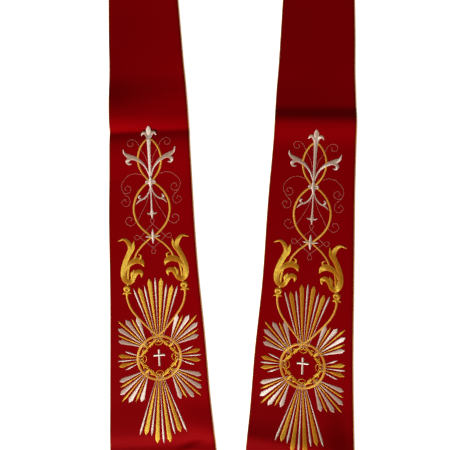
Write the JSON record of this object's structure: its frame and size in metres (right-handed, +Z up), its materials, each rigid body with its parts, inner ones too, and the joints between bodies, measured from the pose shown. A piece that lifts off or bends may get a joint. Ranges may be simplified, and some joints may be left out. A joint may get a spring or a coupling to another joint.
{
  "type": "clerical stole",
  "caption": "Clerical stole laid flat: two mirrored tapered halves meeting at a nape seam, gold piping round each, raised embroidery with a ring of rays and a small cross.",
  "frame": {"origin": "on the surface that the stole lies on, under the middle of its box seen from above", "axes": "+Z up off the surface, +Y along the stole from the hems to the nape, +X to the right-hand half as seen from above"},
  "size_m": [0.3978, 1.363, 0.0081],
  "materials": {
    "satin": "red satin with a soft sheen",
    "piping": "twisted gold cord",
    "gold_thread": "satin stitch in gold thread",
    "silver_thread": "satin stitch in silver thread"
  },
  "bodies": {
    "root": {"panel_left": "satin", "panel_right": "satin", "piping_left": "piping", "piping_right": "piping", "embroidery_left": "gold_thread", "embroidery_right": "gold_thread", "cross_left": "silver_thread", "cross_right": "silver_thread"}
  },
  "joints": []
}
